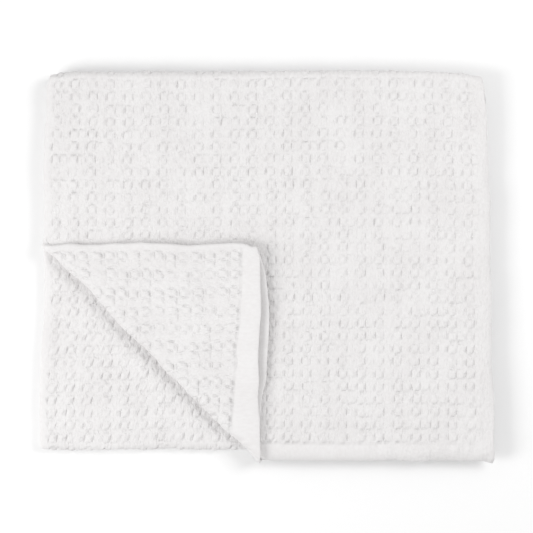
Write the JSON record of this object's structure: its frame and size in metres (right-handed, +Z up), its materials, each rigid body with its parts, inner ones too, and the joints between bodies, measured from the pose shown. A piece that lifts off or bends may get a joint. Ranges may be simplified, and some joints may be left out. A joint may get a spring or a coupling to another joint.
{
  "type": "folded quilt",
  "caption": "Puckered cotton throw quilt, folded in half across and in thirds along, with one corner of the top pair of layers turned back.",
  "frame": {"origin": "centre of the folded pile's footprint, on the surface it lies on", "axes": "+X away from the folded side edge, towards the side hems; +Y from the open end hem towards the fold; +Z up through the layers"},
  "size_m": [0.6584, 0.5676, 0.0518],
  "materials": {
    "cotton": "matte puckered woven cotton"
  },
  "bodies": {
    "root": {"quilt": "cotton"}
  },
  "joints": []
}
